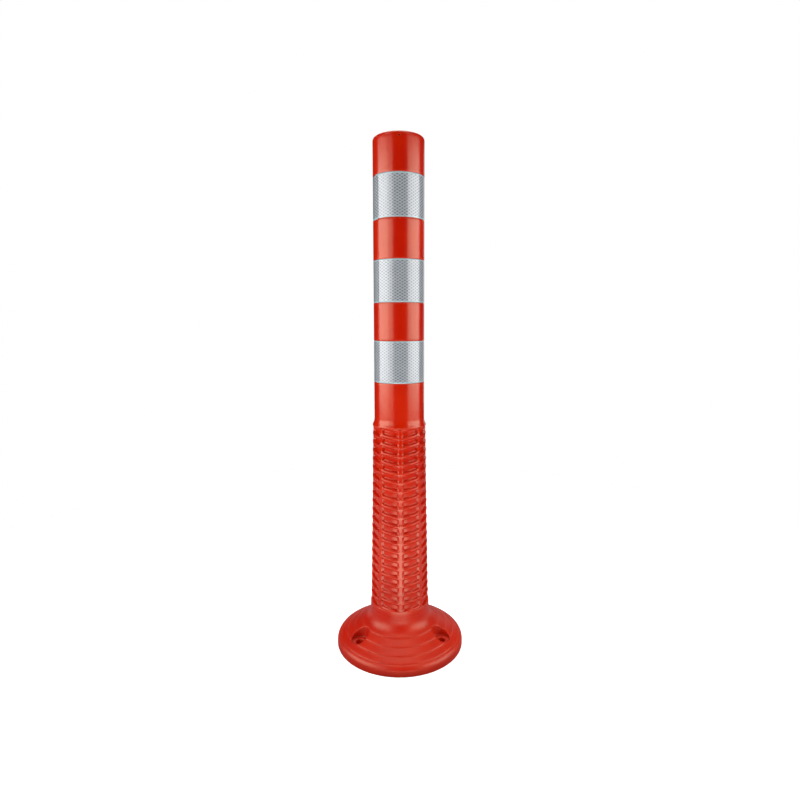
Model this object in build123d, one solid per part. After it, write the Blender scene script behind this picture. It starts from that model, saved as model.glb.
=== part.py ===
from build123d import *
import math
import os

# A flexible traffic delineator post, in millimetres. The post stands on the road at z = 0,
# its axis is Z, and its front is towards -Y. The body is one soft plastic moulding: a round
# base flange, a tapered section with rows of pockets that lets it bend, and a smooth round
# tube with a closed top. Three bands of reflective sheet are stuck round the tube.
# The moulding is divided into five nodes where it bends, so that each can move.

# Overall sizes
TOTAL_HEIGHT = 753.0
TUBE_RADIUS = 37.0
TUBE_WALL = 4.0
TOP_EDGE_RADIUS = 5.0
TOP_INSIDE_RADIUS = 3.0

# Ribbed section that bends: rows of pockets between eight upright ribs
ROW_COUNT = 21
ROW_PITCH = 13.0
RIBBED_BOTTOM = 68.5
RIBBED_TOP = RIBBED_BOTTOM + ROW_COUNT * ROW_PITCH
RIBBED_RADIUS_BOTTOM = 44.1
RIBBED_RADIUS_TOP = 39.4
RIB_COUNT = 8
RIB_HALF_ANGLE = 4.7
POCKET_HEIGHT = 9.0
POCKET_DEPTH = 3.5
POCKET_CORNER = 2.0
BAR_SLOPE = 8.0
BORE_RADIUS_BOTTOM = 37.8
BORE_RADIUS_TOP = TUBE_RADIUS - TUBE_WALL

# Rows taken by each piece of the ribbed section, from the base upwards
LOWER_FLEX_ROWS = 9
COLLAR_ROWS = 2
UPPER_FLEX_ROWS = ROW_COUNT - LOWER_FLEX_ROWS - COLLAR_ROWS

# Shoulder between the ribbed section and the smooth tube
SHOULDER_RADIUS = 39.8
SHOULDER_HEIGHT = 10.0
SHOULDER_LAND = 1.5
LEDGE_ROUNDING = 0.6

# Base flange
FLANGE_RADIUS = 97.3
RIM_STRAIGHT = 7.5
RIM_ROUNDING = 10.3
CONE_SLOPE = 30.5
NECK_RADIUS = 44.8
NECK_FILLET = 20.0
SOLE_CHAMFER = 1.0
DOME_WALL = 5.5
RIM_WALL = 6.0
INNER_RING_RADIUS = 43.5
STIFFENER_COUNT = 12
STIFFENER_WIDTH = 4.0
GROOVE_RADII = (58.0, 69.6, 81.2, 91.0)
GROOVE_DEPTH = 0.7
GROOVE_SECTION_RADIUS = 1.4

# Bolt holes through the flange
BOLT_CIRCLE_DIAMETER = 140.0
BOLT_COUNT = 3
BOLT_HOLE_RADIUS = 6.5
BOLT_POCKET_RADIUS = 13.5
BOLT_LEDGE_HEIGHT = 18.0
BOLT_POCKET_LIP = 1.0
BOSS_RADIUS = 21.0

# Air vent near the top of the tube, at the front
VENT_RADIUS = 1.3
VENT_HEIGHT = 745.8

# Reflective bands, from the top one down, stuck on by hand and so not quite evenly apart
BAND_NAMES = ("top", "middle", "bottom")
BAND_CENTRES = (668.0, 551.7, 437.0)
BAND_WIDTH = 60.0
RECESS_DEPTH = 0.5
SHEET_THICKNESS = 0.4
LAP_START = -63.6
LAP_ARC = 9.0

FRONT = -90.0


def row_edge(row):
    """Height of the middle of the bar under a row of pockets."""
    return RIBBED_BOTTOM + row * ROW_PITCH


def taper(z, bottom_value, top_value):
    """Value at height z of a straight taper along the ribbed section."""
    share = (z - RIBBED_BOTTOM) / (RIBBED_TOP - RIBBED_BOTTOM)
    return bottom_value + share * (top_value - bottom_value)


def skin_radius(z):
    """Outside radius of the ribbed section."""
    return taper(z, RIBBED_RADIUS_BOTTOM, RIBBED_RADIUS_TOP)


def bore_radius(z):
    """Inside radius of the ribbed section."""
    return taper(z, BORE_RADIUS_BOTTOM, BORE_RADIUS_TOP)


def turned(outline):
    """Solid of revolution about Z from a closed outline of (radius, height) edges."""
    return revolve(Plane.XZ * make_face(outline), Axis.Z)


def cylinder_between(radius, low, high):
    """Upright cylinder on the Z axis between two heights."""
    return Pos(0, 0, (low + high) / 2) * Cylinder(radius, high - low)


def tapered_wall(low, high):
    """Plain wall of the ribbed section between two heights, before the pockets."""
    outline = Polyline(
        (bore_radius(low), low),
        (skin_radius(low), low),
        (skin_radius(high), high),
        (bore_radius(high), high),
        close=True,
    )
    return turned(outline)


def pocket_cutter(row):
    """Rounded level block that cuts one pocket of a row, centred on angle 0."""
    middle = row_edge(row) + ROW_PITCH / 2
    floor = skin_radius(middle) - POCKET_DEPTH
    outside = skin_radius(middle) + 2
    centre = (floor + outside) / 2
    section = Plane.XZ * (Pos(centre, middle) * Rectangle(outside - floor, POCKET_HEIGHT))
    arc = 360 / RIB_COUNT - 2 * RIB_HALF_ANGLE
    block = Rot(0, 0, -arc / 2) * revolve(section, Axis.Z, arc)
    straight = block.edges().filter_by(GeomType.LINE)
    corners = [edge for edge in straight if abs(edge.tangent_at(0.5).Z) < 0.1]
    return fillet(corners, POCKET_CORNER)


def bar_slope(panel):
    """Tilt of one panel's bars: down towards the rib at the front or the one at the back."""
    quarter = panel * 4 // RIB_COUNT
    return BAR_SLOPE if quarter % 2 else -BAR_SLOPE


def pocketed(wall, first_row, row_total):
    """A wall with its rows of pockets cut between the upright ribs."""
    cutters = []
    for row in range(first_row, first_row + row_total):
        middle = row_edge(row) + ROW_PITCH / 2
        block = Pos(0, 0, -middle) * pocket_cutter(row)
        for panel in range(RIB_COUNT):
            turn = Rot(0, 0, (panel + 0.5) * 360 / RIB_COUNT)
            tilt = Rot(bar_slope(panel), 0, 0)
            cutters.append(Pos(0, 0, middle) * turn * tilt * block)
    return wall - cutters


def cone_edge_height():
    """Height at which the rim's rounding runs into the cone of the flange."""
    return RIM_STRAIGHT + RIM_ROUNDING * math.sin(math.radians(90 - CONE_SLOPE))


def cone_edge_radius():
    """Radius at which the rim's rounding runs into the cone of the flange."""
    return FLANGE_RADIUS - RIM_ROUNDING * (1 - math.cos(math.radians(90 - CONE_SLOPE)))


def cone_height(radius):
    """Height of the flange's cone at a radius."""
    return cone_edge_height() + (cone_edge_radius() - radius) * math.tan(math.radians(CONE_SLOPE))


def rounded(section, point, radius):
    """A flat section with its corner nearest to a point rounded."""
    corner = section.vertices().sort_by_distance(point)[0]
    return fillet(corner, radius)


def flange_blank():
    """Solid flange and neck, with the bore, before anything is cut into them."""
    neck_foot = (NECK_RADIUS, cone_height(NECK_RADIUS))
    neck_top = (NECK_RADIUS, RIBBED_BOTTOM)
    rim_start = (FLANGE_RADIUS, RIM_STRAIGHT)
    rim_end = (cone_edge_radius(), cone_edge_height())
    rim_arc = TangentArc(rim_start, rim_end, tangent=(0, 1))
    rest = Polyline(
        rim_end,
        neck_foot,
        neck_top,
        (BORE_RADIUS_BOTTOM, RIBBED_BOTTOM),
        (BORE_RADIUS_BOTTOM, 0),
        (FLANGE_RADIUS - SOLE_CHAMFER, 0),
        (FLANGE_RADIUS, SOLE_CHAMFER),
        rim_start,
    )
    section = make_face([rim_arc, rest])
    section = rounded(section, neck_foot, NECK_FILLET)
    section = rounded(section, neck_top, LEDGE_ROUNDING)
    return revolve(Plane.XZ * section, Axis.Z)


def flange_hollow():
    """Ring-shaped hollow under the dome, between the rim and the ring round the bore."""
    rim_inside = FLANGE_RADIUS - RIM_WALL
    drop = DOME_WALL / math.cos(math.radians(CONE_SLOPE))
    outline = Polyline(
        (INNER_RING_RADIUS, -1),
        (INNER_RING_RADIUS, cone_height(INNER_RING_RADIUS) - drop),
        (rim_inside, cone_height(rim_inside) - drop),
        (rim_inside, -1),
        close=True,
    )
    return turned(outline)


def bolt_positions():
    """Locations of the bolt holes: one at the back, two at the front sides."""
    radius = BOLT_CIRCLE_DIAMETER / 2
    angles = [FRONT + 180 + number * 360 / BOLT_COUNT for number in range(BOLT_COUNT)]
    return [Rot(0, 0, angle) * Pos(radius, 0, 0) for angle in angles]


def stiffeners():
    """Upright webs that fill the hollow between the dome and the road."""
    length = FLANGE_RADIUS - RIM_WALL - INNER_RING_RADIUS + 2
    centre = (FLANGE_RADIUS - RIM_WALL + INNER_RING_RADIUS) / 2
    web = Pos(centre, 0, 20) * Box(length, STIFFENER_WIDTH, 42)
    angles = [(number + 0.5) * 360 / STIFFENER_COUNT for number in range(STIFFENER_COUNT)]
    return [Rot(0, 0, angle) * web for angle in angles]


def ring_grooves():
    """Shallow round-bottomed grooves that run round the flange's cone."""
    rise = GROOVE_SECTION_RADIUS - GROOVE_DEPTH
    slope = math.radians(CONE_SLOPE)
    rings = []
    for radius in GROOVE_RADII:
        height = cone_height(radius) + rise * math.cos(slope)
        centre_radius = radius + rise * math.sin(slope)
        rings.append(Pos(0, 0, height) * Torus(centre_radius, GROOVE_SECTION_RADIUS))
    return rings


def with_bolt_holes(flange):
    """The flange with its bolt holes and the pockets for the bolt heads, lips rounded."""
    depth = 60.0
    pocket = Pos(0, 0, BOLT_LEDGE_HEIGHT + depth / 2) * Cylinder(BOLT_POCKET_RADIUS, depth)
    for place in bolt_positions():
        flange -= place * Cylinder(BOLT_HOLE_RADIUS, 2 * depth)
        flange -= place * pocket
    lips = []
    for edge in flange.edges():
        middle = edge.center(CenterOf.MASS)
        off_circle = abs(math.hypot(middle.X, middle.Y) - BOLT_CIRCLE_DIAMETER / 2)
        if off_circle < 2 and middle.Z > BOLT_LEDGE_HEIGHT + 2:
            lips.append(edge)
    return fillet(lips, BOLT_POCKET_LIP)


def base_flange():
    """Round base: dome, rim and neck, with webs, bolt bosses and bolt holes."""
    hollow = flange_hollow()
    hollow -= stiffeners()
    hollow -= [place * Cylinder(BOSS_RADIUS, 100) for place in bolt_positions()]
    flange = with_bolt_holes(flange_blank() - hollow)
    return flange - ring_grooves()


def ribbed_piece(first_row, row_total):
    """A length of the ribbed section."""
    wall = tapered_wall(row_edge(first_row), row_edge(first_row + row_total))
    return pocketed(wall, first_row, row_total)


def tube_blank():
    """Shoulder, smooth tube and closed top, before anything is cut into them."""
    land_top = RIBBED_TOP + SHOULDER_LAND
    shoulder_top = land_top + SHOULDER_HEIGHT
    ledge = (SHOULDER_RADIUS, RIBBED_TOP)
    top_edge = (TUBE_RADIUS, TOTAL_HEIGHT)
    inside_edge = (BORE_RADIUS_TOP, TOTAL_HEIGHT - TUBE_WALL)
    shoulder = TangentArc(
        (TUBE_RADIUS, shoulder_top),
        (SHOULDER_RADIUS, land_top),
        tangent=(0, -1),
    )
    rest = Polyline(
        (SHOULDER_RADIUS, land_top),
        ledge,
        (BORE_RADIUS_TOP, RIBBED_TOP),
        inside_edge,
        (0, TOTAL_HEIGHT - TUBE_WALL),
        (0, TOTAL_HEIGHT),
        top_edge,
        (TUBE_RADIUS, shoulder_top),
    )
    section = make_face([shoulder, rest])
    section = rounded(section, ledge, LEDGE_ROUNDING)
    section = rounded(section, top_edge, TOP_EDGE_RADIUS)
    section = rounded(section, inside_edge, TOP_INSIDE_RADIUS)
    return revolve(Plane.XZ * section, Axis.Z)


def upper_tube():
    """Smooth tube with its recesses for the bands and its vent."""
    tube = tube_blank()
    for centre in BAND_CENTRES:
        low = centre - BAND_WIDTH / 2
        high = centre + BAND_WIDTH / 2
        ring = cylinder_between(TUBE_RADIUS + 1, low, high)
        ring -= cylinder_between(TUBE_RADIUS - RECESS_DEPTH, low, high)
        tube -= ring
    vent = Rot(90, 0, 0) * Cylinder(VENT_RADIUS, 20)
    return tube - Pos(0, -TUBE_RADIUS, VENT_HEIGHT) * vent


def reflective_band(centre):
    """One band of reflective sheet, wrapped once round and lapped over its own end."""
    inside = TUBE_RADIUS - RECESS_DEPTH
    outside = inside + SHEET_THICKNESS
    low = centre - BAND_WIDTH / 2
    high = centre + BAND_WIDTH / 2
    sheet = cylinder_between(outside, low, high)
    sheet -= cylinder_between(inside, low, high)
    middle = outside + SHEET_THICKNESS / 2
    section = Plane.XZ * (Pos(middle, centre) * Rectangle(SHEET_THICKNESS, BAND_WIDTH))
    lap = revolve(section, Axis.Z, LAP_ARC)
    return sheet + Rot(0, 0, FRONT + LAP_START) * lap


def save(shape, name):
    """Write one node's STEP file."""
    export_step(shape, f"parts/{name}.step")


def main():
    """Build every node and write it."""
    os.makedirs("parts", exist_ok=True)
    collar_row = LOWER_FLEX_ROWS
    upper_flex_row = collar_row + COLLAR_ROWS
    save(base_flange(), "base_flange")
    save(ribbed_piece(0, LOWER_FLEX_ROWS), "lower_flex_section")
    save(ribbed_piece(collar_row, COLLAR_ROWS), "middle_collar")
    save(ribbed_piece(upper_flex_row, UPPER_FLEX_ROWS), "upper_flex_section")
    save(upper_tube(), "upper_tube")
    for name, centre in zip(BAND_NAMES, BAND_CENTRES):
        save(reflective_band(centre), f"reflective_band_{name}")


main()
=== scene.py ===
import math

import bmesh
import bpy
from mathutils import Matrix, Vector
from mathutils.geometry import delaunay_2d_cdt


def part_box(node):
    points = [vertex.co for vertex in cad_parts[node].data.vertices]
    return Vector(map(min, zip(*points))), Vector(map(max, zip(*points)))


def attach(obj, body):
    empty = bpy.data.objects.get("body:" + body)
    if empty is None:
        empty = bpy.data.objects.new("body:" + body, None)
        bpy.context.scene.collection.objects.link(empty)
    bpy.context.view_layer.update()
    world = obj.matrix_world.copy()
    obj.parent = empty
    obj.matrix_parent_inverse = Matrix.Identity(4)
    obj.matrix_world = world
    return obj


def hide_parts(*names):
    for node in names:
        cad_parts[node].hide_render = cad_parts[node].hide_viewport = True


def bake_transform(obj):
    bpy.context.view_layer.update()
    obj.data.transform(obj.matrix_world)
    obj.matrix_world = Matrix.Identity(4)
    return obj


# The looks of a flexible delineator post. The mesh code works in millimetres round the Z axis,
# with the front of the post towards -Y, and build() turns the points into metres.

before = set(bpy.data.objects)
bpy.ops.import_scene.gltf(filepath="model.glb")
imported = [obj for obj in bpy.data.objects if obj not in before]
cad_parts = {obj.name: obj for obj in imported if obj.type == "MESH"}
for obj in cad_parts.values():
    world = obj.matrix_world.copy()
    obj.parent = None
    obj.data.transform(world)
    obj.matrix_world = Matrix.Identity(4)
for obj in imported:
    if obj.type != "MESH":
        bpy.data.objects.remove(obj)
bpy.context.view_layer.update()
MM = 0.001
FRONT = math.radians(-90)


def box_mm(node):
    """Lowest and highest corner of a CAD node, in millimetres."""
    low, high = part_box(node)
    return low / MM, high / MM


# Heights and radii that come from the CAD nodes
BASE_HIGH = box_mm("base_flange")[1]
LOWER_LOW, LOWER_HIGH = box_mm("lower_flex_section")
COLLAR_LOW, COLLAR_HIGH = box_mm("middle_collar")
UPPER_LOW, UPPER_HIGH = box_mm("upper_flex_section")
TUBE_HIGH = box_mm("upper_tube")[1]

# Section with rows of pockets between eight upright ribs
PANELS = 8
ROW_PITCH = 13.0
RIBBED_LOW = LOWER_LOW.z
RIBBED_HIGH = UPPER_HIGH.z
ROWS = round((RIBBED_HIGH - RIBBED_LOW) / ROW_PITCH)
SPLIT_HEIGHT = (COLLAR_LOW.z + COLLAR_HIGH.z) / 2
SPLIT_ROW = round((SPLIT_HEIGHT - RIBBED_LOW) / ROW_PITCH)
SKIN_RADIUS_LOW = LOWER_HIGH.x
SKIN_RADIUS_HIGH = 39.4
RIB_HALF_ANGLE = math.radians(4.7)
POCKET_HALF_HEIGHT = 4.5
POCKET_CORNER = 2.0
POCKET_DEPTH = 3.5
POCKET_LIP = 1.8
POCKET_LEAN = math.radians(30.0)
POCKET_FLOOR_ROUNDING = 1.8
POCKET_FOOT_CORNER = 0.5
POCKET_CROWN = 0.2
SIDE_RIB_DROP = 0.4
BAR_STEP = 0.2
BAR_RISE = 0.7
BAR_SLOPE = math.radians(8.0)
MEAN_SKIN_RADIUS = (SKIN_RADIUS_LOW + SKIN_RADIUS_HIGH) / 2
BORE_RADIUS_LOW = 37.8
BORE_RADIUS_HIGH = 33.0

# Points round one pocket: along its straight sides, and in half of each corner
STRAIGHT_ACROSS = 8
STRAIGHT_UP = 3
HALF_CORNER = 2
CELL_ACROSS = STRAIGHT_ACROSS + 2 * HALF_CORNER
CELL_UP = STRAIGHT_UP + 2 * HALF_CORNER
AROUND = PANELS * CELL_ACROSS

# Steps of an arc, points round a small hole, and the distances that count as nothing
LIP_STEPS = 3
ARC_STEPS = 8
BOLT_POINTS = 64
VENT_POINTS = 24
WELD = 0.004
SLIVER = 0.002
DRAWN_TOGETHER = 1e-4
ON_MOUTH = 0.05

# Base flange
FLANGE_TRIM = 0.5
FLANGE_RADIUS = BASE_HIGH.x - FLANGE_TRIM
RIM_STRAIGHT = 6.5
RIM_ROUNDING = 10.3
CONE_SLOPE = math.radians(30.5)
NECK_RADIUS = 44.8
NECK_FILLET = 20.0
NECK_EDGE_SPAN = 6.0
NECK_SEAM = 4.0
SOLE_CHAMFER = 1.0
DOME_WALL = 5.5
RIM_WALL = 6.0
INNER_RING_RADIUS = 43.5
DOME_MARGIN = 3.0
DOME_EDGE = FLANGE_RADIUS - DOME_MARGIN
WEBS = 12
WEB_HALF_WIDTH = 2.0
GROOVE_RADII = (58.0, 69.6, 81.2, 91.0)
GROOVE_DEPTH = 0.42
GROOVE_HALF_WIDTH = 0.9
GROOVE_SHARES = (-1, -0.66, -0.33, 0, 0.33, 0.66, 1)
PLAIN_RINGS = (61.5, 66.0, 73.0, 77.8, 84.5, 87.5)
ROOF_RINGS = (53.0, 63.0, 74.0, 83.0)
BOLTS = 3
BOLT_CIRCLE = 70.0
BOLT_POCKET_RADIUS = 13.5
BOLT_LIP = 1.0
BOLT_LEDGE = 18.0
BOLT_HOLE_RADIUS = 6.5
BOSS_RADIUS = 21.0

# Smooth tube
TUBE_RADIUS = 37.0
TUBE_WALL = 4.0
SHOULDER_RADIUS = TUBE_HIGH.x
SHOULDER_LAND = 1.5
SHOULDER_HEIGHT = 10.0
SHOULDER_SHARE = 0.96
TOP = TUBE_HIGH.z
TOP_ROUNDING = 5.0
VENT_RADIUS = 1.3
VENT_HEIGHT = 745.8
VENT_LIP = 0.3
VENT_DEPTH = 3.6
VENT_MARGIN = 2.2
VENT_CELLS = 1
BORE_STEP = 6.5
DISC_RINGS = (24, 16, 8)
RECESS_DEPTH = 0.5
RECESS_MARGIN = 0.8

# Reflective bands
SHEET_THICKNESS = 0.4
LAP_START = math.radians(-63.6)
LAP_ARC = math.radians(9.0)
LAP_RISE = 3
LAP_GAP = 0.02
SHEET_SOFT_EDGE = 0.12
SHEET_BORDER = 2.0
BAND_POINTS = 144
BAND_SKEWS = (-1.3, -0.3, 0.4)

# Looks of the moulding
DEEP_ORANGE = (0.58, 0.0060, 0.0001)
BRIGHT_ORANGE = (0.70, 0.0155, 0.0002)
FLOW_ORANGE = (0.74, 0.025, 0.0004)
RUBBED_ORANGE = (0.78, 0.085, 0.025)
# Painted shade: the colour the moulding is darkened towards in its hollows, creases and pocket
# corners
SHADED_ORANGE = (0.33, 0.002, 0.0001)
WARM_SHINE = (1.0, 0.88, 0.64)
MOULDING_SHINE = 0.85
BASE_SHINE = 0.7
BASE_ROUGHNESS = 0.38
RIBBED_ROUGHNESS = 0.17
TUBE_ROUGHENING = 0.05
NECK_SPAN = (0.05, 0.07)
SHOULDER_SPAN = (0.33, 0.36)
GRAIN_ROUGHENING = 0.03
RUBBED_ROUGHENING = 0.12
RUBBED_SHARE = 0.35
# How much painted shade the hollows get
HOLLOW_SHADE_SHARE = 0.45

# Looks of the reflective sheet
SILVER_DARK = (0.19, 0.21, 0.235)
SILVER_LIGHT = (0.24, 0.26, 0.285)
SEAM_SILVER = (0.52, 0.555, 0.59)
EDGE_SILVER = (0.46, 0.66, 0.69)
LATTICE_WIDTH = 0.0068
LATTICE_HEIGHT = 0.00415
EDGE_SEAL = 0.0016
EDGE_FADE = 0.0003
CELL_SHINE = 0.95
SEAM_SHINE = 0.12

# Studio, seen from above: angles are from the camera's direction, positive to its right
CAMERA_TURN = 2.0
CAMERA_DISTANCE = 0.8122
CAMERA_HEIGHT = 0.4914
CAMERA_DOWN = 6.43
CAMERA_ROLL = 0.16
CAMERA_LENS = 24.68
CAMERA_SENSOR = 36.0
CAMERA_SHIFT_X = 0.00125
CAMERA_SHIFT_Y = -0.0178
SIDE_DISTANCE = 1.25
SIDE_BOTTOM = 0.19
SIDE_TOP = 1.12
UPPER_ANGLE = 52
UPPER_HEIGHT = 1.65
UPPER_WIDTH = 0.6
UPPER_DEPTH = 0.5
UPPER_RADIANCE = 1.7
UPPER_TARGET = Vector((0, 0, 0.2))
ROOM_RADIANCE = 0.015
TABLE_RADIUS = 1.05
TABLE_DARK = 0.10
TABLE_BRIGHT = 0.30
TABLE_FADE = 0.55
TABLE_END = 0.95
TABLE_RADIANCE = 3.2
TABLE_END_SHARE = 0.15
TABLE_GREY = 0.25
TABLE_WHITE = 0.9
TABLE_CAMERA_GLOW = 0.8
FRONT_SPAN = (-0.98, -0.80)
SIDE_SHARE = 0.08

# Upright softboxes: name, nearest and farthest angle, radiance
SIDE_LAMPS = (
    ("left_inner", -27, -48, 1.8),
    ("left_outer", -48, -100, 3.5),
    ("right_inner", 40, 58, 2.4),
    ("right_outer", 58, 102, 3.2),
    ("right_behind", 145, 158, 0.8),
)

# Softboxes above the post: name, place, target, width, height, radiance
OVERHEAD_LAMPS = (
    ("overhead", (0, 0.25, 2.2), (0, 0.25, 0), 1.35, 1.7, 1.7),
    ("overhead_behind", (0, 1.35, 2.0), (0, 0, TOP * MM), 1.4, 0.9, 2.4),
)


# ---------------------------------------------------------------- mesh helpers


class Shell:
    """Points in millimetres and faces of one piece, welded when it is built."""

    def __init__(self):
        self.points = []
        self.faces = []

    def add(self, points):
        """Adds points and returns their numbers."""
        first = len(self.points)
        self.points.extend(points)
        return list(range(first, len(self.points)))

    def strip(self, low, high, closed=True):
        """Quads between two rows of points that have the same number."""
        count = len(low)
        for i in range(count if closed else count - 1):
            j = (i + 1) % count
            self.faces.append((low[i], low[j], high[j], high[i]))

    def loft(self, rows):
        """Strips through closed rows of points; returns the first and last row."""
        numbered = [self.add(row) for row in rows]
        for low, high in zip(numbered, numbered[1:]):
            self.strip(low, high)
        return numbered[0], numbered[-1]

    def build(self, name):
        """The object in metres, with smooth shading and the values its material reads."""
        mesh = bpy.data.meshes.new(name)
        scaled = [(x * MM, y * MM, z * MM) for x, y, z in self.points]
        mesh.from_pydata(scaled, [], self.faces)
        bm = bmesh.new()
        bm.from_mesh(mesh)
        bmesh.ops.remove_doubles(bm, verts=bm.verts, dist=WELD * MM)
        bmesh.ops.dissolve_degenerate(bm, dist=SLIVER * MM, edges=bm.edges)
        bmesh.ops.recalc_face_normals(bm, faces=bm.faces)
        mark_edges(bm)
        bm.to_mesh(mesh)
        bm.free()
        keep_rest_place(mesh)
        piece = bpy.data.objects.new(name, mesh)
        bpy.context.scene.collection.objects.link(piece)
        return piece


def mark_edges(bm, sharp=math.radians(50), start=math.radians(9), full=math.radians(30)):
    """Marks sharp edges, and stores how convex and how hollow the surface is at each point."""
    convex = bm.verts.layers.float.new("edge_wear")
    # The hollow value drives painted shade in the moulding's material
    hollow = bm.verts.layers.float.new("cavity")
    for face in bm.faces:
        face.smooth = True
    for edge in bm.edges:
        if len(edge.link_faces) != 2:
            continue
        angle = edge.calc_face_angle_signed()
        edge.smooth = abs(angle) < sharp
        share = min(1.0, max(0.0, (abs(angle) - start) / (full - start)))
        layer = convex if angle > 0 else hollow
        for vert in edge.verts:
            vert[layer] = max(vert[layer], share)


def keep_rest_place(mesh):
    """Stores each point's place at rest, so that patterns stay put when the post bends."""
    attribute = mesh.attributes.new("rest_place", "FLOAT_VECTOR", "POINT")
    values = [0.0] * (3 * len(mesh.vertices))
    mesh.vertices.foreach_get("co", values)
    attribute.data.foreach_set("vector", values)


def on_cylinder(radius, angle, z):
    """Point at a radius and an angle round the Z axis."""
    return (radius * math.cos(angle), radius * math.sin(angle), z)


def ring(radius, z, count=AROUND):
    """Closed row of points round the Z axis."""
    return [on_cylinder(radius, FRONT + math.tau * i / count, z) for i in range(count)]


def smooth_share(value):
    """Smoothstep of a value held between 0 and 1."""
    value = min(1.0, max(0.0, value))
    return value * value * (3 - 2 * value)


def spread(first, last, steps):
    """Evenly spaced numbers from first to last."""
    return [first + (last - first) * i / steps for i in range(steps + 1)]


def triangulate(loops, keep):
    """Triangles of a flat drawing made of closed loops, where keep(x, y) says so."""
    points, edges = [], []
    for loop in loops:
        first = len(points)
        points.extend(Vector(p) for p in loop)
        count = len(loop)
        edges.extend((first + i, first + (i + 1) % count) for i in range(count))
    found = delaunay_2d_cdt(points, edges, [], 0, DRAWN_TOGETHER)
    triangles = []
    for face in found[2]:
        x = sum(found[0][i].x for i in face) / len(face)
        y = sum(found[0][i].y for i in face) / len(face)
        if keep(x, y):
            triangles.append(tuple(face))
    return found[0], triangles


def circle(x, y, radius, count):
    """Closed loop of flat points."""
    angles = [math.tau * i / count for i in range(count)]
    return [(x + radius * math.cos(a), y + radius * math.sin(a)) for a in angles]


# ---------------------------------------------------------------- ribbed section


def skin_radius(z):
    """Outside radius of the ribbed section."""
    share = (z - RIBBED_LOW) / (RIBBED_HIGH - RIBBED_LOW)
    return SKIN_RADIUS_LOW + share * (SKIN_RADIUS_HIGH - SKIN_RADIUS_LOW)


def bore_radius(z):
    """Inside radius of the ribbed section and of the tube above it."""
    share = min(1.0, max(0.0, (z - RIBBED_LOW) / (RIBBED_HIGH - RIBBED_LOW)))
    return BORE_RADIUS_LOW + share * (BORE_RADIUS_HIGH - BORE_RADIUS_LOW)


def rib_drop(t, turn):
    """How far the ribs lie below the bars, at a height from the middle of a row.

    The ribs at the two sides, a quarter of a turn from the front, lie deeper than the others.
    """
    off_side = abs(turn % math.pi - math.pi / 2)
    side = smooth_share(2 - off_side / RIB_HALF_ANGLE)
    beside_pocket = smooth_share(POCKET_HALF_HEIGHT + BAR_RISE - abs(t))
    return (BAR_STEP + SIDE_RIB_DROP * side) * beside_pocket


def bar_shift(panel, angle, level=1.0):
    """How far the bars of a panel are raised at an angle from its middle.

    They run down towards the rib at the front and the rib at the back. The shift fades out
    over half a rib, so that neighbouring panels meet there.
    """
    half_panel = math.pi / PANELS
    pocket_edge = half_panel - RIB_HALF_ANGLE
    fade = min(1.0, (half_panel - abs(angle)) / RIB_HALF_ANGLE)
    quarter = panel * 4 // PANELS
    slope = math.tan(BAR_SLOPE) * (1 if quarter % 2 == 0 else -1)
    held = max(-pocket_edge, min(pocket_edge, angle))
    return level * slope * MEAN_SKIN_RADIUS * held * max(0.0, fade)


def end_level(row, t):
    """Share of the bars' shift that is kept, so that the section's two ends are level."""
    to_edge = (ROW_PITCH / 2 - abs(t)) / (ROW_PITCH / 2 - POCKET_HALF_HEIGHT)
    at_end = (row == 0 and t < 0) or (row == ROWS - 1 and t > 0)
    return min(1.0, to_edge) if at_end else 1.0


def bar_ring(z):
    """Closed row of points that follows the bars round the skin at a row's edge."""
    points = []
    step = math.tau / PANELS
    for i in range(AROUND):
        turn = math.tau * i / AROUND
        panel = i // CELL_ACROSS
        level = z + bar_shift(panel, turn - (panel + 0.5) * step)
        points.append(on_cylinder(skin_radius(level), FRONT + turn, level))
    return points


def rounded_side(half_length, half_depth, corner, straight):
    """Lower side of a rounded rectangle, from the middle of one corner to the next."""
    flat = half_length - corner
    level = half_depth - corner
    half_arc = math.radians(45)
    points = []
    for i in range(HALF_CORNER):
        angle = math.radians(225) + half_arc * i / HALF_CORNER
        points.append((-flat + corner * math.cos(angle), -level + corner * math.sin(angle)))
    for i in range(straight):
        points.append((-flat + 2 * flat * i / straight, -half_depth))
    for i in range(HALF_CORNER):
        angle = math.radians(270) + half_arc * i / HALF_CORNER
        points.append((flat + corner * math.cos(angle), -level + corner * math.sin(angle)))
    return points


def rounded_loop(half_width, half_height, corner):
    """Closed loop of a rounded rectangle, anticlockwise from its lower left corner."""
    lower = rounded_side(half_width, half_height, corner, STRAIGHT_ACROSS)
    right = rounded_side(half_height, half_width, corner, STRAIGHT_UP)
    loop = list(lower)
    loop += [(-y, x) for x, y in right]
    loop += [(-x, -y) for x, y in lower]
    loop += [(y, -x) for x, y in right]
    return loop


def cell_edge_loop(half_width, half_height):
    """Closed loop of the plain rectangle round one pocket, with as many points."""
    across = spread(-half_width, half_width, CELL_ACROSS)
    up = spread(-half_height, half_height, CELL_UP)
    loop = [(x, -half_height) for x in across[:-1]]
    loop += [(half_width, y) for y in up[:-1]]
    loop += [(-x, half_height) for x in across[:-1]]
    loop += [(-half_width, -y) for y in up[:-1]]
    return loop


def pocket_loop(half_width, inset):
    """Closed loop round a pocket, a distance inside its mouth."""
    corner = max(POCKET_FOOT_CORNER, POCKET_CORNER - inset)
    return rounded_loop(half_width - inset, POCKET_HALF_HEIGHT - inset, corner)


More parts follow.
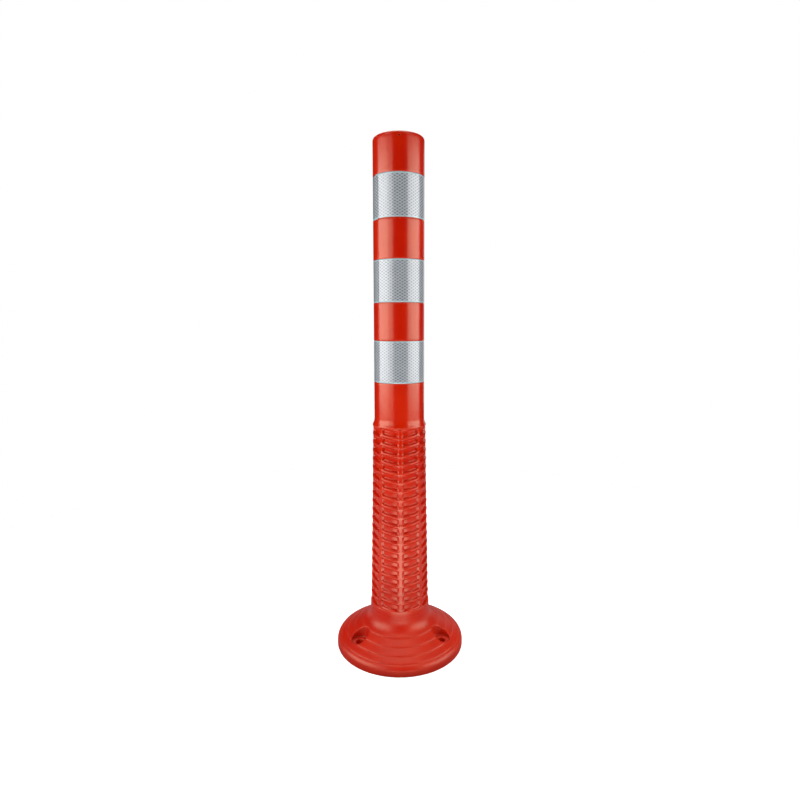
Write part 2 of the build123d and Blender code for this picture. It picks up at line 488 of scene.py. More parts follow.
def pocket_steps():
    """Inset and depth of each loop down a pocket: lip, leaning wall and floor rounding."""
    steepest = math.radians(90) - POCKET_LEAN
    steps = []
    for angle in spread(0, steepest, LIP_STEPS):
        inset = -POCKET_LIP * (1 - math.sin(angle))
        steps.append((inset, POCKET_LIP * (1 - math.cos(angle))))
    foot_depth = POCKET_DEPTH - POCKET_FLOOR_ROUNDING * (1 - math.cos(steepest))
    foot_inset = steps[-1][0] + (foot_depth - steps[-1][1]) * math.tan(POCKET_LEAN)
    floor_inset = foot_inset + POCKET_FLOOR_ROUNDING * math.sin(steepest)
    for angle in spread(steepest, 0, LIP_STEPS):
        inset = floor_inset - POCKET_FLOOR_ROUNDING * math.sin(angle)
        steps.append((inset, POCKET_DEPTH - POCKET_FLOOR_ROUNDING * (1 - math.cos(angle))))
    return steps


def floor_grid(loop):
    """Rows of points that fill a loop, its own points included."""
    corner = [0, CELL_ACROSS, CELL_ACROSS + CELL_UP, 2 * CELL_ACROSS + CELL_UP]
    total = len(loop)
    bottom = [loop[i] for i in range(corner[0], corner[1] + 1)]
    right = [loop[i] for i in range(corner[1], corner[2] + 1)]
    top = [loop[i] for i in range(corner[3], corner[2] - 1, -1)]
    left = [loop[i % total] for i in range(total, corner[3] - 1, -1)]
    rows = []
    for j in range(CELL_UP + 1):
        v = j / CELL_UP
        row = []
        for i in range(CELL_ACROSS + 1):
            u = i / CELL_ACROSS
            point = []
            for axis in (0, 1):
                sides = (1 - v) * bottom[i][axis] + v * top[i][axis]
                sides += (1 - u) * left[j][axis] + u * right[j][axis]
                lower = (1 - u) * bottom[0][axis] + u * bottom[-1][axis]
                upper = (1 - u) * top[0][axis] + u * top[-1][axis]
                point.append(sides - (1 - v) * lower - v * upper)
            row.append(tuple(point))
        rows.append(row)
    return rows


def add_pocket(shell, panel, row):
    """One rectangle of the ribbed section with its pocket."""
    middle = RIBBED_LOW + (row + 0.5) * ROW_PITCH
    near = skin_radius(middle)
    panel_angle = math.tau / PANELS
    centre = FRONT + (panel + 0.5) * panel_angle
    half_width = near * (panel_angle / 2 - RIB_HALF_ANGLE)

    def place(s, t, depth):
        z = middle + t + bar_shift(panel, s / near, end_level(row, t))
        drop = rib_drop(t, centre + s / near - FRONT) * (1 - depth / POCKET_DEPTH)
        return on_cylinder(skin_radius(z) - drop - depth, centre + s / near, z)

    def floor_place(s, t):
        crown = (1 - (s / half_width) ** 2) * (1 - (t / POCKET_HALF_HEIGHT) ** 2)
        return place(s, t, POCKET_DEPTH - POCKET_CROWN * crown)

    edge = cell_edge_loop(near * panel_angle / 2, ROW_PITCH / 2)
    last = shell.add([place(s, t, 0) for s, t in edge])
    steps = pocket_steps()
    for inset, depth in steps[:-1]:
        loop = pocket_loop(half_width, inset)
        numbers = shell.add([place(s, t, depth) for s, t in loop])
        shell.strip(last, numbers)
        last = numbers
    inset = steps[-1][0]
    loop = pocket_loop(half_width, inset)
    grid = floor_grid(loop)
    shell.strip(last, shell.add([floor_place(s, t) for s, t in loop]))
    numbers = [shell.add([floor_place(s, t) for s, t in line]) for line in grid]
    for low, high in zip(numbers, numbers[1:]):
        shell.strip(low, high, closed=False)


def add_ribbed_rows(shell, first_row, last_row):
    """The rows of pockets from one row up to, but not including, another."""
    for row in range(first_row, last_row):
        for panel in range(PANELS):
            add_pocket(shell, panel, row)


# ---------------------------------------------------------------- base flange


def cone_edge():
    """Radius and height where the rim's rounding runs into the cone."""
    turn = math.radians(90) - CONE_SLOPE
    radius = FLANGE_RADIUS - RIM_ROUNDING * (1 - math.cos(turn))
    return radius, RIM_STRAIGHT + RIM_ROUNDING * math.sin(turn)


def cone_height(radius):
    """Height of the cone at a radius."""
    edge_radius, edge_height = cone_edge()
    return edge_height + (edge_radius - radius) * math.tan(CONE_SLOPE)


def dome_height(radius):
    """Height of the flange's upper surface, without its grooves."""
    if radius < cone_edge()[0]:
        return cone_height(radius)
    out = radius - (FLANGE_RADIUS - RIM_ROUNDING)
    return RIM_STRAIGHT + math.sqrt(RIM_ROUNDING**2 - out**2)


def grooved_height(radius):
    """Height of the flange's upper surface with its ring grooves."""
    height = dome_height(radius)
    for groove in GROOVE_RADII:
        off = abs(radius - groove) / math.cos(CONE_SLOPE)
        if off < GROOVE_HALF_WIDTH:
            height -= GROOVE_DEPTH * (1 + math.cos(math.pi * off / GROOVE_HALF_WIDTH)) / 2
    return height


def bolt_centres():
    """Flat places of the bolt holes: one at the back and two at the front sides."""
    angles = [FRONT + math.pi + math.tau * i / BOLTS for i in range(BOLTS)]
    return [(BOLT_CIRCLE * math.cos(a), BOLT_CIRCLE * math.sin(a)) for a in angles]


def off_bolts(x, y):
    """Distance from a flat point to the nearest bolt hole's middle."""
    return min(math.hypot(x - cx, y - cy) for cx, cy in bolt_centres())


def fillet_end():
    """Radius where the neck's fillet meets the cone, and the fillet's middle."""
    turn = math.radians(90) - CONE_SLOPE
    tangent = NECK_FILLET * math.tan(turn / 2)
    middle = (NECK_RADIUS + NECK_FILLET, cone_height(NECK_RADIUS) + tangent)
    return NECK_RADIUS + tangent * math.cos(CONE_SLOPE), middle


def dome_radii():
    """Radii of the rings that the dome's upper surface is drawn with."""
    radii = {fillet_end()[0], DOME_EDGE}
    for groove in GROOVE_RADII:
        for share in GROOVE_SHARES:
            radii.add(groove + share * GROOVE_HALF_WIDTH * math.cos(CONE_SLOPE))
    radii.update(PLAIN_RINGS)
    return sorted(radius for radius in radii if fillet_end()[0] <= radius <= DOME_EDGE)


def add_dome(shell):
    """The flange's upper surface, with its grooves, cut open at the bolt pockets."""
    mouth = BOLT_POCKET_RADIUS + BOLT_LIP
    loops = [circle(0, 0, radius, 2 * AROUND) for radius in dome_radii()]
    loops += [circle(x, y, mouth, BOLT_POINTS) for x, y in bolt_centres()]
    inside = fillet_end()[0]

    def keep(x, y):
        return inside < math.hypot(x, y) < DOME_EDGE and off_bolts(x, y) > mouth

    flat, triangles = triangulate(loops, keep)
    points = [(p.x, p.y, grooved_height(p.length)) for p in flat]
    numbers = shell.add(points)
    shell.faces.extend(tuple(numbers[i] for i in face) for face in triangles)
    for x, y in bolt_centres():
        add_bolt_pocket(shell, x, y, points)


def add_bolt_pocket(shell, x, y, dome_points):
    """Rounded lip, wall and ledge of one bolt pocket, and the hole through the flange."""
    mouth = BOLT_POCKET_RADIUS + BOLT_LIP
    around = [p for p in dome_points if abs(math.hypot(p[0] - x, p[1] - y) - mouth) < ON_MOUTH]
    around.sort(key=lambda p: math.atan2(p[1] - y, p[0] - x))
    angles = [math.atan2(p[1] - y, p[0] - x) for p in around]
    rows = [around]
    for degrees in (22.5, 45, 67.5, 90):
        turn = math.radians(degrees)
        radius = BOLT_POCKET_RADIUS + BOLT_LIP * (1 - math.sin(turn))
        row = []
        for angle in angles:
            px = x + radius * math.cos(angle)
            py = y + radius * math.sin(angle)
            drop = BOLT_LIP * (1 - math.cos(turn))
            row.append((px, py, grooved_height(math.hypot(px, py)) - drop))
        rows.append(row)
    ledge = [
        (BOLT_POCKET_RADIUS, BOLT_LEDGE + 1.2),
        (BOLT_POCKET_RADIUS - 0.15, BOLT_LEDGE + 0.6),
        (BOLT_POCKET_RADIUS - 0.6, BOLT_LEDGE + 0.15),
        (BOLT_POCKET_RADIUS - 1.2, BOLT_LEDGE),
        (BOLT_HOLE_RADIUS + 0.7, BOLT_LEDGE),
        (BOLT_HOLE_RADIUS + 0.2, BOLT_LEDGE - 0.2),
        (BOLT_HOLE_RADIUS, BOLT_LEDGE - 0.7),
        (BOLT_HOLE_RADIUS, 0.0),
    ]
    for radius, z in ledge:
        row = [(x + radius * math.cos(a), y + radius * math.sin(a), z) for a in angles]
        rows.append(row)
    shell.loft(rows)


def add_rim(shell):
    """The flange's rounded rim, from the dome's edge down to the sole."""
    middle = FLANGE_RADIUS - RIM_ROUNDING
    start = math.acos((DOME_EDGE - middle) / RIM_ROUNDING)
    profile = []
    for angle in spread(start, 0, ARC_STEPS):
        radius = middle + RIM_ROUNDING * math.cos(angle)
        profile.append((radius, RIM_STRAIGHT + RIM_ROUNDING * math.sin(angle)))
    profile[0] = (DOME_EDGE, grooved_height(DOME_EDGE))
    profile += [
        (FLANGE_RADIUS, 4.5),
        (FLANGE_RADIUS, SOLE_CHAMFER + 0.2),
        (FLANGE_RADIUS - 0.25, 0.4),
        (FLANGE_RADIUS - SOLE_CHAMFER, 0.0),
    ]
    shell.loft([ring(radius, z, 2 * AROUND) for radius, z in profile])


def add_neck(shell):
    """Fillet and neck, from the dome up to the first row of pockets."""
    end_radius, middle = fillet_end()
    profile = []
    for angle in spread(math.pi + math.radians(90) - CONE_SLOPE, math.pi, ARC_STEPS):
        radius = middle[0] + NECK_FILLET * math.cos(angle)
        profile.append((radius, middle[1] + NECK_FILLET * math.sin(angle)))
    profile[0] = (end_radius, grooved_height(end_radius))
    rows = [ring(radius, z, 2 * AROUND) for radius, z in profile]
    fine = shell.loft(rows)[1]
    seam = middle[1] + NECK_SEAM
    coarse = shell.add(ring(NECK_RADIUS, seam))
    for i in range(AROUND):
        here, there = fine[2 * i], fine[(2 * i + 2) % len(fine)]
        between = fine[2 * i + 1]
        low, high = coarse[i], coarse[(i + 1) % AROUND]
        shell.faces += [(here, between, low), (between, high, low), (between, there, high)]
    upper = [
        (NECK_RADIUS, seam),
        (NECK_RADIUS, RIBBED_LOW - NECK_EDGE_SPAN),
        (NECK_RADIUS, RIBBED_LOW - 0.8),
        (NECK_RADIUS - 0.12, RIBBED_LOW - 0.35),
        (NECK_RADIUS - 0.4, RIBBED_LOW - 0.08),
        (SKIN_RADIUS_LOW, RIBBED_LOW),
    ]
    shell.loft([ring(radius, z) for radius, z in upper])


def web_outlines():
    """Flat outlines of the upright webs under the dome."""
    low = INNER_RING_RADIUS - 1
    high = FLANGE_RADIUS - RIM_WALL + 1
    outlines = []
    for number in range(WEBS):
        angle = (number + 0.5) * math.tau / WEBS
        along = (math.cos(angle), math.sin(angle))
        corners = [
            (low, -WEB_HALF_WIDTH),
            (high, -WEB_HALF_WIDTH),
            (high, WEB_HALF_WIDTH),
            (low, WEB_HALF_WIDTH),
        ]
        outline = [
            (r * along[0] - s * along[1], r * along[1] + s * along[0]) for r, s in corners
        ]
        outlines.append(outline)
    return outlines


def under_solid(x, y):
    """True where the flange reaches down to the road."""
    radius = math.hypot(x, y)
    if radius > FLANGE_RADIUS - RIM_WALL or radius < INNER_RING_RADIUS:
        return True
    if off_bolts(x, y) < BOSS_RADIUS:
        return True
    step = math.tau / WEBS
    off_web = (math.atan2(y, x) - step / 2) % step
    off_web = min(off_web, step - off_web)
    return radius * math.sin(off_web) < WEB_HALF_WIDTH


def roof_height(radius):
    """Height of the hollow's roof under the dome."""
    return cone_height(radius) - DOME_WALL / math.cos(CONE_SLOPE)


def add_underside(shell):
    """Sole, webs, bolt bosses and the hollows between them, seen from below."""
    sole = FLANGE_RADIUS - SOLE_CHAMFER
    rims = (FLANGE_RADIUS - RIM_WALL, INNER_RING_RADIUS)
    loops = [circle(0, 0, sole, 2 * AROUND), circle(0, 0, BORE_RADIUS_LOW, AROUND)]
    loops += [circle(0, 0, radius, AROUND) for radius in rims]
    loops += [circle(0, 0, radius, AROUND) for radius in ROOF_RINGS]
    loops += [circle(x, y, BOSS_RADIUS, BOLT_POINTS) for x, y in bolt_centres()]
    loops += [circle(x, y, BOLT_HOLE_RADIUS, BOLT_POINTS) for x, y in bolt_centres()]
    loops += web_outlines()

    def keep(x, y):
        return BORE_RADIUS_LOW < math.hypot(x, y) < sole and off_bolts(x, y) > BOLT_HOLE_RADIUS

    flat, triangles = triangulate(loops, keep)
    low = shell.add([(p.x, p.y, 0.0) for p in flat])
    high = shell.add([(p.x, p.y, roof_height(p.length)) for p in flat])
    solid_sides = {}
    for face in triangles:
        x = sum(flat[i].x for i in face) / 3
        y = sum(flat[i].y for i in face) / 3
        solid = under_solid(x, y)
        level = low if solid else high
        shell.faces.append(tuple(level[i] for i in reversed(face)))
        for a, b in zip(face, face[1:] + face[:1]):
            solid_sides.setdefault(frozenset((a, b)), []).append((solid, a, b))
    for sides in solid_sides.values():
        if len(sides) == 2 and sides[0][0] != sides[1][0]:
            a, b = sides[0][1:]
            shell.faces.append((low[a], low[b], high[b], high[a]))


# ---------------------------------------------------------------- the two skins


def bore_rows(low, high):
    """Rings of the bore's wall, close enough together to bend."""
    steps = max(1, round((high - low) / BORE_STEP))
    return [ring(bore_radius(z), z) for z in spread(low, high, steps)]


def lower_skin():
    """Flange, neck and the lower rows of pockets, with the bore inside them."""
    shell = Shell()
    add_dome(shell)
    add_rim(shell)
    add_neck(shell)
    add_underside(shell)
    add_ribbed_rows(shell, 0, SPLIT_ROW)
    shell.loft(bore_rows(0.0, RIBBED_LOW))
    shell.loft(bore_rows(RIBBED_LOW, SPLIT_HEIGHT))
    shell.loft([bar_ring(SPLIT_HEIGHT), ring(bore_radius(SPLIT_HEIGHT), SPLIT_HEIGHT)])
    return shell.build("post_moulding_lower")


def shoulder_profile():
    """Outline of the step between the ribbed section and the smooth tube."""
    land_top = RIBBED_HIGH + SHOULDER_LAND
    out = SHOULDER_RADIUS - TUBE_RADIUS
    arc = (SHOULDER_HEIGHT**2 + out**2) / (2 * out)
    profile = [
        (SKIN_RADIUS_HIGH, RIBBED_HIGH),
        (SHOULDER_RADIUS - 0.2, RIBBED_HIGH + 0.1),
        (SHOULDER_RADIUS, RIBBED_HIGH + 0.5),
        (SHOULDER_RADIUS, land_top - 0.3),
    ]
    sweep = math.asin(SHOULDER_HEIGHT / arc)
    for angle in spread(sweep * SHOULDER_SHARE, 0, ARC_STEPS):
        radius = TUBE_RADIUS + arc * (1 - math.cos(angle))
        profile.append((radius, land_top + SHOULDER_HEIGHT - arc * math.sin(angle)))
    return profile


def band_boxes():
    """Lowest and highest level of each reflective band, from the top one down."""
    names = ("reflective_band_top", "reflective_band_middle", "reflective_band_bottom")
    return [(name, box_mm(name)[0].z, box_mm(name)[1].z) for name in names]


def tube_profile():
    """Outline of the smooth tube with the recesses for its bands, up to the vent."""
    profile = []
    for _, low, high in reversed(band_boxes()):
        floor = TUBE_RADIUS - RECESS_DEPTH
        low -= RECESS_MARGIN
        high += RECESS_MARGIN
        profile += [
            (TUBE_RADIUS, low - 3.0),
            (TUBE_RADIUS, low - 0.3),
            (TUBE_RADIUS - 0.1, low - 0.05),
            (floor, low + 0.2),
            (floor, high - 0.2),
            (TUBE_RADIUS - 0.1, high + 0.05),
            (TUBE_RADIUS, high + 0.3),
            (TUBE_RADIUS, high + 3.0),
        ]
    return profile


def vent_band():
    """Heights between which the vent's patch of the tube lies."""
    return VENT_HEIGHT - VENT_MARGIN, TOP - TOP_ROUNDING


def add_vent(shell):
    """The strip of tube that holds the vent at the front, and the vent's own wall."""
    low, high = vent_band()
    step = math.tau / AROUND
    lower, upper = ring(TUBE_RADIUS, low), ring(TUBE_RADIUS, high)
    a, b = shell.add(lower), shell.add(upper)
    for i in range(VENT_CELLS, AROUND - VENT_CELLS):
        j = (i + 1) % AROUND
        shell.faces.append((a[i], a[j], b[j], b[i]))
    across = [i * step * TUBE_RADIUS for i in range(-VENT_CELLS, VENT_CELLS + 1)]
    edge = [(s, low) for s in across] + [(s, high) for s in reversed(across)]
    outer = VENT_RADIUS + VENT_LIP
    hole = circle(0, VENT_HEIGHT, outer, VENT_POINTS)

    def keep(s, z):
        inside = abs(s) < across[-1] and low < z < high
        return inside and math.hypot(s, z - VENT_HEIGHT) > outer * math.cos(math.pi / VENT_POINTS)

    flat, triangles = triangulate([edge, hole], keep)

    def place(s, z, depth=0.0):
        return on_cylinder(TUBE_RADIUS - depth, FRONT + s / TUBE_RADIUS, z)

    numbers = shell.add([place(p.x, p.y) for p in flat])
    shell.faces.extend(tuple(numbers[i] for i in face) for face in triangles)
    wall = [
        (outer, 0),
        (VENT_RADIUS + 0.08, 0.1),
        (VENT_RADIUS, 0.35),
        (VENT_RADIUS, VENT_DEPTH),
    ]
    rows = []
    for radius, depth in wall:
        rows.append([place(s, z, depth) for s, z in circle(0, VENT_HEIGHT, radius, VENT_POINTS)])
    last = shell.loft(rows)[1]
    shell.faces.append(tuple(last))


def add_disc(shell, radii, z):
    """Flat disc made of rings, closed by a fan."""
    last = shell.loft([ring(radius, z) for radius in radii])[1]
    centre = shell.add([(0, 0, z)])[0]
    for i, number in enumerate(last):
        shell.faces.append((number, last[(i + 1) % len(last)], centre))


def upper_skin():
    """The upper rows of pockets, the shoulder, the smooth tube and its closed top."""
    shell = Shell()
    add_ribbed_rows(shell, SPLIT_ROW, ROWS)
    profile = shoulder_profile() + tube_profile()
    profile.append((TUBE_RADIUS, vent_band()[0]))
    shell.loft([ring(radius, z) for radius, z in profile])
    add_vent(shell)
    rounding = []
    for angle in spread(0, math.radians(90), ARC_STEPS):
        radius = TUBE_RADIUS - TOP_ROUNDING * (1 - math.cos(angle))
        rounding.append((radius, TOP - TOP_ROUNDING * (1 - math.sin(angle))))
    shell.loft([ring(radius, z) for radius, z in rounding])
    add_disc(shell, (TUBE_RADIUS - TOP_ROUNDING, *DISC_RINGS), TOP)
    inside_top = TOP - TUBE_WALL
    shell.loft(bore_rows(SPLIT_HEIGHT, RIBBED_HIGH))
    shell.loft(bore_rows(RIBBED_HIGH, inside_top))
    add_disc(shell, (BORE_RADIUS_HIGH, *DISC_RINGS), inside_top)
    shell.loft([bar_ring(SPLIT_HEIGHT), ring(bore_radius(SPLIT_HEIGHT), SPLIT_HEIGHT)])
    return shell.build("post_moulding_upper")


# ---------------------------------------------------------------- reflective bands


def band(name, low, high, skew):
    """A sheet wrapped once round the tube and lapped over its own end, a little askew."""
    inside = TUBE_RADIUS - RECESS_DEPTH
    lap_steps = round(BAND_POINTS * LAP_ARC / math.tau)
    shell = Shell()
    rows = []
    for i in range(BAND_POINTS + lap_steps + 1):
        share = i / BAND_POINTS
        angle = FRONT + LAP_START + math.tau * share
        over = smooth_share((i - BAND_POINTS + LAP_RISE) / LAP_RISE)
        radius = inside + over * (SHEET_THICKNESS + LAP_GAP)
        shift = skew * (share - 0.5)
        outer = radius + SHEET_THICKNESS
        soft = SHEET_SOFT_EDGE
        outline = [
            (radius, low + shift),
            (outer - soft, low + shift),
            (outer, low + shift + soft),
            (outer, low + shift + SHEET_BORDER),
            (outer, (low + high) / 2 + shift),
            (outer, high + shift - SHEET_BORDER),
            (outer, high + shift - soft),
            (outer - soft, high + shift),
            (radius, high + shift),
        ]
        rows.append([on_cylinder(r, angle, z) for r, z in outline])
    numbered = [shell.add(row) for row in rows]
    for here, there in zip(numbered, numbered[1:]):
        shell.strip(here, there)
    shell.faces += [tuple(numbered[0]), tuple(numbered[-1])]
    return shell.build(name)


# ---------------------------------------------------------------- materials


class Nodes:
    """Short calls that build a material's node tree."""

    def __init__(self, name):
        self.material = bpy.data.materials.new(name)
        self.material.use_nodes = True
        self.tree = self.material.node_tree
        self.shader = self.tree.nodes["Principled BSDF"]

    def link(self, value, socket):
        """Feeds a socket from another one, or sets it."""
        if isinstance(value, bpy.types.NodeSocket):
            self.tree.links.new(value, socket)
        else:
            socket.default_value = value

    def attribute(self, name):
        """A value stored on the mesh's points."""
        node = self.tree.nodes.new("ShaderNodeAttribute")
        node.attribute_name = name
        return node

    def math(self, operation, a, b=0.0, clamp=False):
        """One Math node."""
        node = self.tree.nodes.new("ShaderNodeMath")
        node.operation = operation
        node.use_clamp = clamp
        self.link(a, node.inputs[0])
        self.link(b, node.inputs[1])
        return node.outputs[0]

    def scaled(self, vector, factors):
        """A vector multiplied by another."""
        node = self.tree.nodes.new("ShaderNodeVectorMath")
        node.operation = "MULTIPLY"
        self.link(vector, node.inputs[0])
        node.inputs[1].default_value = factors
        return node.outputs[0]

    def noise(self, vector, scale, detail=3.0, roughness=0.5):
        """Noise from 0 to 1."""
        node = self.tree.nodes.new("ShaderNodeTexNoise")
        self.link(vector, node.inputs["Vector"])
        node.inputs["Scale"].default_value = scale
        node.inputs["Detail"].default_value = detail
        node.inputs["Roughness"].default_value = roughness
        return node.outputs[0]

    def span(self, value, low, high, new_low=0.0, new_high=1.0):
        """A value's range mapped onto another, clamped."""
        node = self.tree.nodes.new("ShaderNodeMapRange")
        self.link(value, node.inputs[0])
        for socket, number in zip(node.inputs[1:5], (low, high, new_low, new_high)):
            socket.default_value = number
        return node.outputs[0]

    def mix(self, share, a, b):
        """Two colours mixed."""
        node = self.tree.nodes.new("ShaderNodeMix")
        node.data_type = "RGBA"
        self.link(share, node.inputs[0])
        for value, socket in ((a, node.inputs[6]), (b, node.inputs[7])):
            self.link((*value, 1.0) if isinstance(value, tuple) else value, socket)
        return node.outputs[2]

    def bump(self, height, distance, strength=1.0, normal=None):
        """A bumped normal."""
        node = self.tree.nodes.new("ShaderNodeBump")
        node.inputs["Strength"].default_value = strength
        node.inputs["Distance"].default_value = distance
        self.link(height, node.inputs["Height"])
        if normal is not None:
            self.link(normal, node.inputs["Normal"])
        return node.outputs[0]


def moulding_material():
    """Orange-red flexible plastic, satin, a little paler where its edges are rubbed, with painted
    shade that darkens it in its hollows.
    """
    n = Nodes("moulding")
    place = n.attribute("rest_place").outputs["Vector"]
    wear = n.attribute("edge_wear").outputs["Fac"]
    cavity = n.attribute("cavity").outputs["Fac"]
    cloud = n.span(n.noise(place, 14.0), 0.3, 0.7)
    grain = n.noise(place, 420.0, 4.0, 0.6)
    flow = n.noise(n.scaled(place, (60.0, 60.0, 4.0)), 1.0, 3.0)
    colour = n.mix(cloud, DEEP_ORANGE, BRIGHT_ORANGE)
    colour = n.mix(n.span(flow, 0.45, 0.75, 0.0, 0.35), colour, FLOW_ORANGE)
    rubbed = n.math("MULTIPLY", wear, n.span(grain, 0.35, 0.7))
    colour = n.mix(n.math("MULTIPLY", rubbed, RUBBED_SHARE), colour, RUBBED_ORANGE)
    # Painted shade: creases and pocket corners are darkened towards SHADED_ORANGE by how hollow
    # the surface is there
    colour = n.mix(n.math("MULTIPLY", cavity, HOLLOW_SHADE_SHARE), colour, SHADED_ORANGE)
    n.link(colour, n.shader.inputs["Base Color"])
    split = n.tree.nodes.new("ShaderNodeSeparateXYZ")
    n.link(place, split.inputs[0])
    height = split.outputs["Z"]
    lower_satin = n.span(height, *NECK_SPAN, BASE_ROUGHNESS, RIBBED_ROUGHNESS)
    upper_satin = n.span(height, *SHOULDER_SPAN, 0.0, TUBE_ROUGHENING)
    satin = n.math("ADD", lower_satin, upper_satin)
    grained = n.span(grain, 0.3, 0.7, -GRAIN_ROUGHENING, GRAIN_ROUGHENING)
    satin = n.math("ADD", satin, grained)
    satin = n.math("ADD", satin, n.math("MULTIPLY", rubbed, RUBBED_ROUGHENING), clamp=True)
    n.link(satin, n.shader.inputs["Roughness"])
    n.shader.inputs["IOR"].default_value = 1.5
    shine = n.span(height, *NECK_SPAN, BASE_SHINE, MOULDING_SHINE)
    n.link(shine, n.shader.inputs["Specular IOR Level"])
    n.shader.inputs["Specular Tint"].default_value = (*WARM_SHINE, 1.0)
    coarse = n.bump(n.noise(place, 90.0, 2.0), 0.0004, 0.2)
    fine = n.bump(n.noise(place, 1400.0, 3.0, 0.6), 0.00006, 0.5, coarse)
    n.link(fine, n.shader.inputs["Normal"])
    return n.material


def sheet_material(low, high):
    """Silver prismatic sheet: a net of pale seams over small cells, with sealed edges."""
    n = Nodes("reflective_sheet")
    place = n.attribute("rest_place").outputs["Vector"]
    split = n.tree.nodes.new("ShaderNodeSeparateXYZ")
    n.link(place, split.inputs[0])
    angle = n.math("ARCTAN2", split.outputs["Y"], split.outputs["X"])
    along = n.math("MULTIPLY", angle, TUBE_RADIUS * MM / LATTICE_WIDTH)
    up = n.math("MULTIPLY", split.outputs["Z"], 1 / LATTICE_HEIGHT)
    seams = []
    for slant in (n.math("ADD", along, up), n.math("SUBTRACT", along, up)):
        turn = n.math("PINGPONG", slant, 0.5)
        seams.append(n.math("SUBTRACT", 0.5, turn))
    nearest = n.math("MINIMUM", *[n.math("SUBTRACT", 0.5, s) for s in seams])
    net = n.span(nearest, 0.06, 0.24, 1.0, 0.0)
    facets = n.math("MULTIPLY", seams[0], seams[1])
    off_low = n.math("SUBTRACT", split.outputs["Z"], low * MM)
    off_high = n.math("SUBTRACT", high * MM, split.outputs["Z"])
    off_edge = n.math("MINIMUM", off_low, off_high)
    edge = n.span(off_edge, EDGE_SEAL, EDGE_SEAL + EDGE_FADE, 1.0, 0.0)
    haze = n.noise(place, 60.0, 3.0)
    colour = n.mix(n.span(haze, 0.3, 0.7), SILVER_DARK, SILVER_LIGHT)
    colour = n.mix(net, colour, SEAM_SILVER)
    colour = n.mix(edge, colour, EDGE_SILVER)
    n.link(colour, n.shader.inputs["Base Color"])
    n.link(n.span(haze, 0.3, 0.7, 0.18, 0.23), n.shader.inputs["Roughness"])
    n.shader.inputs["IOR"].default_value = 1.85
    shine = n.span(net, 0.0, 1.0, CELL_SHINE, SEAM_SHINE)
    n.link(shine, n.shader.inputs["Specular IOR Level"])
    n.shader.inputs["Coat Weight"].default_value = 0.5
    n.shader.inputs["Coat Roughness"].default_value = 0.10
    dents = n.bump(facets, 0.00006, 0.15)
    raised = n.bump(net, 0.00002, 0.15, dents)
    n.link(raised, n.shader.inputs["Normal"])
    return n.material


# ---------------------------------------------------------------- stage


def from_camera(azimuth, distance, z):
    """Place at an angle from the direction of the camera, positive to its right."""
    angle = math.radians(azimuth) + FRONT - math.radians(CAMERA_TURN)
    return Vector((distance * math.cos(angle), distance * math.sin(angle), z))


def aimed(thing, place, target):
    """Puts a lamp at a place, facing a target."""
    thing.location = place
    thing.rotation_euler = (target - place).to_track_quat("-Z", "Y").to_euler()
    bpy.context.scene.collection.objects.link(thing)


def softbox(name, place, target, width, height, radiance):
    """A rectangular lamp of a given brightness that the camera doesn't see."""
    lamp = bpy.data.lights.new(name, "AREA")
    lamp.shape = "RECTANGLE"
    lamp.size = width
    lamp.size_y = height
    lamp.energy = radiance * math.pi * width * height
    holder = bpy.data.objects.new(name, lamp)
    holder.visible_camera = False
    aimed(holder, place, target)


def side_softbox(name, near, far, radiance):
    """An upright softbox that covers a range of angles from the camera's direction."""
    middle = (near + far) / 2
    half = math.radians(abs(far - near) / 2)
    z = (SIDE_BOTTOM + SIDE_TOP) / 2
    place = from_camera(middle, SIDE_DISTANCE, z)
    width = 2 * SIDE_DISTANCE * math.tan(half)
    softbox(name, place, Vector((0, 0, z)), width, SIDE_TOP - SIDE_BOTTOM, radiance)


def add_lights():
    """Wide softboxes at both sides, smaller ones higher up, and two overhead."""
    for name, near, far, radiance in SIDE_LAMPS:
        side_softbox(name, near, far, radiance)
    for name, place, target, width, height, radiance in OVERHEAD_LAMPS:
        softbox(name, Vector(place), Vector(target), width, height, radiance)
    for name, side in (("left_upper", -1), ("right_upper", 1)):
        place = from_camera(side * UPPER_ANGLE, SIDE_DISTANCE, UPPER_HEIGHT)
        softbox(name, place, UPPER_TARGET, UPPER_WIDTH, UPPER_DEPTH, UPPER_RADIANCE)


def add_world():
    """A dark room for light and reflections, and a plain white ground for the camera."""
    world = bpy.data.worlds.new("studio")
    world.use_nodes = True
    bpy.context.scene.world = world
    tree = world.node_tree
    tree.nodes.clear()
    out = tree.nodes.new("ShaderNodeOutputWorld")
    mix = tree.nodes.new("ShaderNodeMixShader")
    rays = tree.nodes.new("ShaderNodeLightPath")
    room = tree.nodes.new("ShaderNodeBackground")
    ground = tree.nodes.new("ShaderNodeBackground")
    room.inputs["Color"].default_value = (1.0, 1.0, 1.0, 1.0)
    room.inputs["Strength"].default_value = ROOM_RADIANCE
    ground.inputs["Color"].default_value = (1.0, 1.0, 1.0, 1.0)
    ground.inputs["Strength"].default_value = 1.0
    tree.links.new(rays.outputs["Is Camera Ray"], mix.inputs[0])
    tree.links.new(room.outputs[0], mix.inputs[1])
    tree.links.new(ground.outputs[0], mix.inputs[2])
    tree.links.new(mix.outputs[0], out.inputs[0])


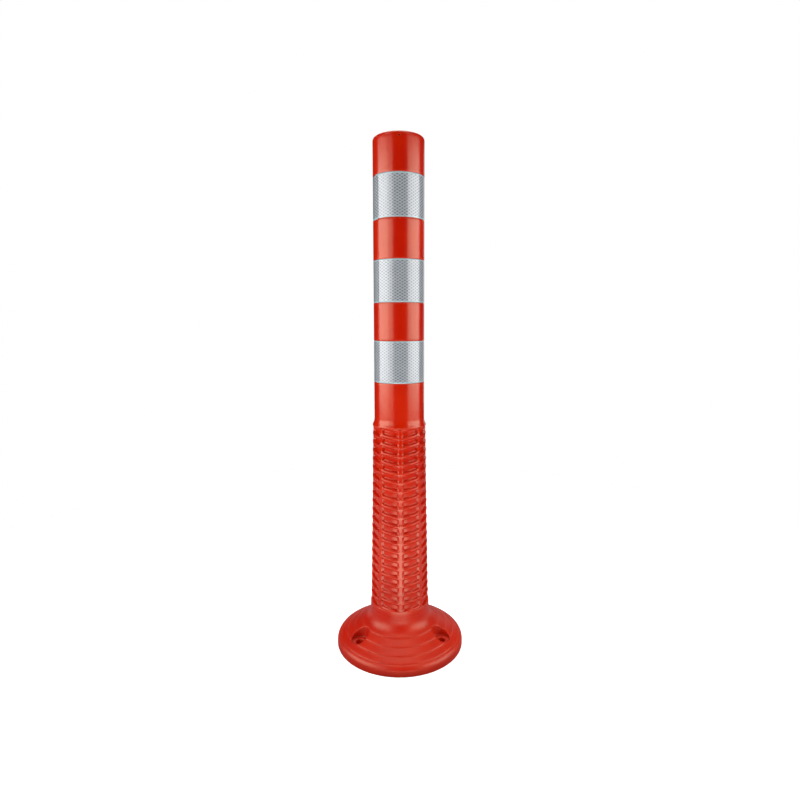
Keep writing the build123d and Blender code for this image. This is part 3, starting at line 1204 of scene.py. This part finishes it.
def add_floor():
    """A round table, plain white to the camera, that throws light up away from the post."""
    mesh = bpy.data.meshes.new("floor")
    bm = bmesh.new()
    bmesh.ops.create_circle(bm, cap_ends=True, segments=96, radius=TABLE_RADIUS)
    bm.to_mesh(mesh)
    bm.free()
    floor = bpy.data.objects.new("floor", mesh)
    bpy.context.scene.collection.objects.link(floor)
    n = Nodes("table")
    n.shader.inputs["Base Color"].default_value = (*[TABLE_WHITE] * 3, 1.0)
    n.shader.inputs["Roughness"].default_value = 0.9
    n.shader.inputs["Emission Color"].default_value = (1.0, 1.0, 1.0, 1.0)
    n.shader.inputs["Emission Strength"].default_value = TABLE_CAMERA_GLOW
    grey = n.tree.nodes.new("ShaderNodeBsdfDiffuse")
    grey.inputs["Color"].default_value = (*[TABLE_GREY] * 3, 1.0)
    place = n.tree.nodes.new("ShaderNodeTexCoord").outputs["Object"]
    away = n.tree.nodes.new("ShaderNodeVectorMath")
    away.operation = "LENGTH"
    n.link(place, away.inputs[0])
    glow = n.tree.nodes.new("ShaderNodeEmission")
    distance = away.outputs["Value"]
    near = n.span(distance, TABLE_DARK, TABLE_BRIGHT, 0.0, TABLE_RADIANCE)
    far = n.span(distance, TABLE_FADE, TABLE_END, 1.0, TABLE_END_SHARE)
    split = n.tree.nodes.new("ShaderNodeSeparateXYZ")
    n.link(place, split.inputs[0])
    forward = n.math("DIVIDE", split.outputs["Y"], n.math("MAXIMUM", distance, 0.001))
    front = n.span(forward, *FRONT_SPAN, 1.0, SIDE_SHARE)
    strength = n.math("MULTIPLY", n.math("MULTIPLY", near, far), front)
    n.link(strength, glow.inputs["Strength"])
    lit = n.tree.nodes.new("ShaderNodeAddShader")
    n.link(grey.outputs[0], lit.inputs[0])
    n.link(glow.outputs[0], lit.inputs[1])
    rays = n.tree.nodes.new("ShaderNodeLightPath")
    mix = n.tree.nodes.new("ShaderNodeMixShader")
    n.link(rays.outputs["Is Camera Ray"], mix.inputs[0])
    n.link(lit.outputs[0], mix.inputs[1])
    n.link(n.shader.outputs[0], mix.inputs[2])
    n.link(mix.outputs[0], n.tree.nodes["Material Output"].inputs["Surface"])
    mesh.materials.append(n.material)


def add_camera():
    """The camera, a little above the middle of the post and looking slightly down."""
    data = bpy.data.cameras.new("camera")
    data.sensor_width = CAMERA_SENSOR
    data.lens = CAMERA_LENS
    data.shift_x = CAMERA_SHIFT_X
    data.shift_y = CAMERA_SHIFT_Y
    data.clip_start = 0.05
    camera = bpy.data.objects.new("camera", data)
    camera.location = from_camera(0, CAMERA_DISTANCE, CAMERA_HEIGHT)
    turns = (90 - CAMERA_DOWN, CAMERA_ROLL, -CAMERA_TURN)
    camera.rotation_euler = [math.radians(turn) for turn in turns]
    bpy.context.scene.collection.objects.link(camera)
    bpy.context.scene.camera = camera
    bpy.context.scene.view_settings.view_transform = "Standard"


def main():
    """Builds the pieces, dresses them and sets the stage."""
    moulding = moulding_material()
    lower = lower_skin()
    lower.data.materials.append(moulding)
    upper = upper_skin()
    upper.data.materials.append(moulding)
    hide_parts("base_flange", "lower_flex_section", "middle_collar")
    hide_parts("upper_flex_section", "upper_tube")
    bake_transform(lower)
    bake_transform(upper)
    for (node, low, high), skew in zip(band_boxes(), BAND_SKEWS):
        piece = band(node.replace("band", "sheet"), low, high, skew)
        piece.data.materials.append(sheet_material(low, high))
        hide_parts(node)
        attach(piece, "post")
    add_floor()
    add_world()
    add_lights()
    add_camera()


main()
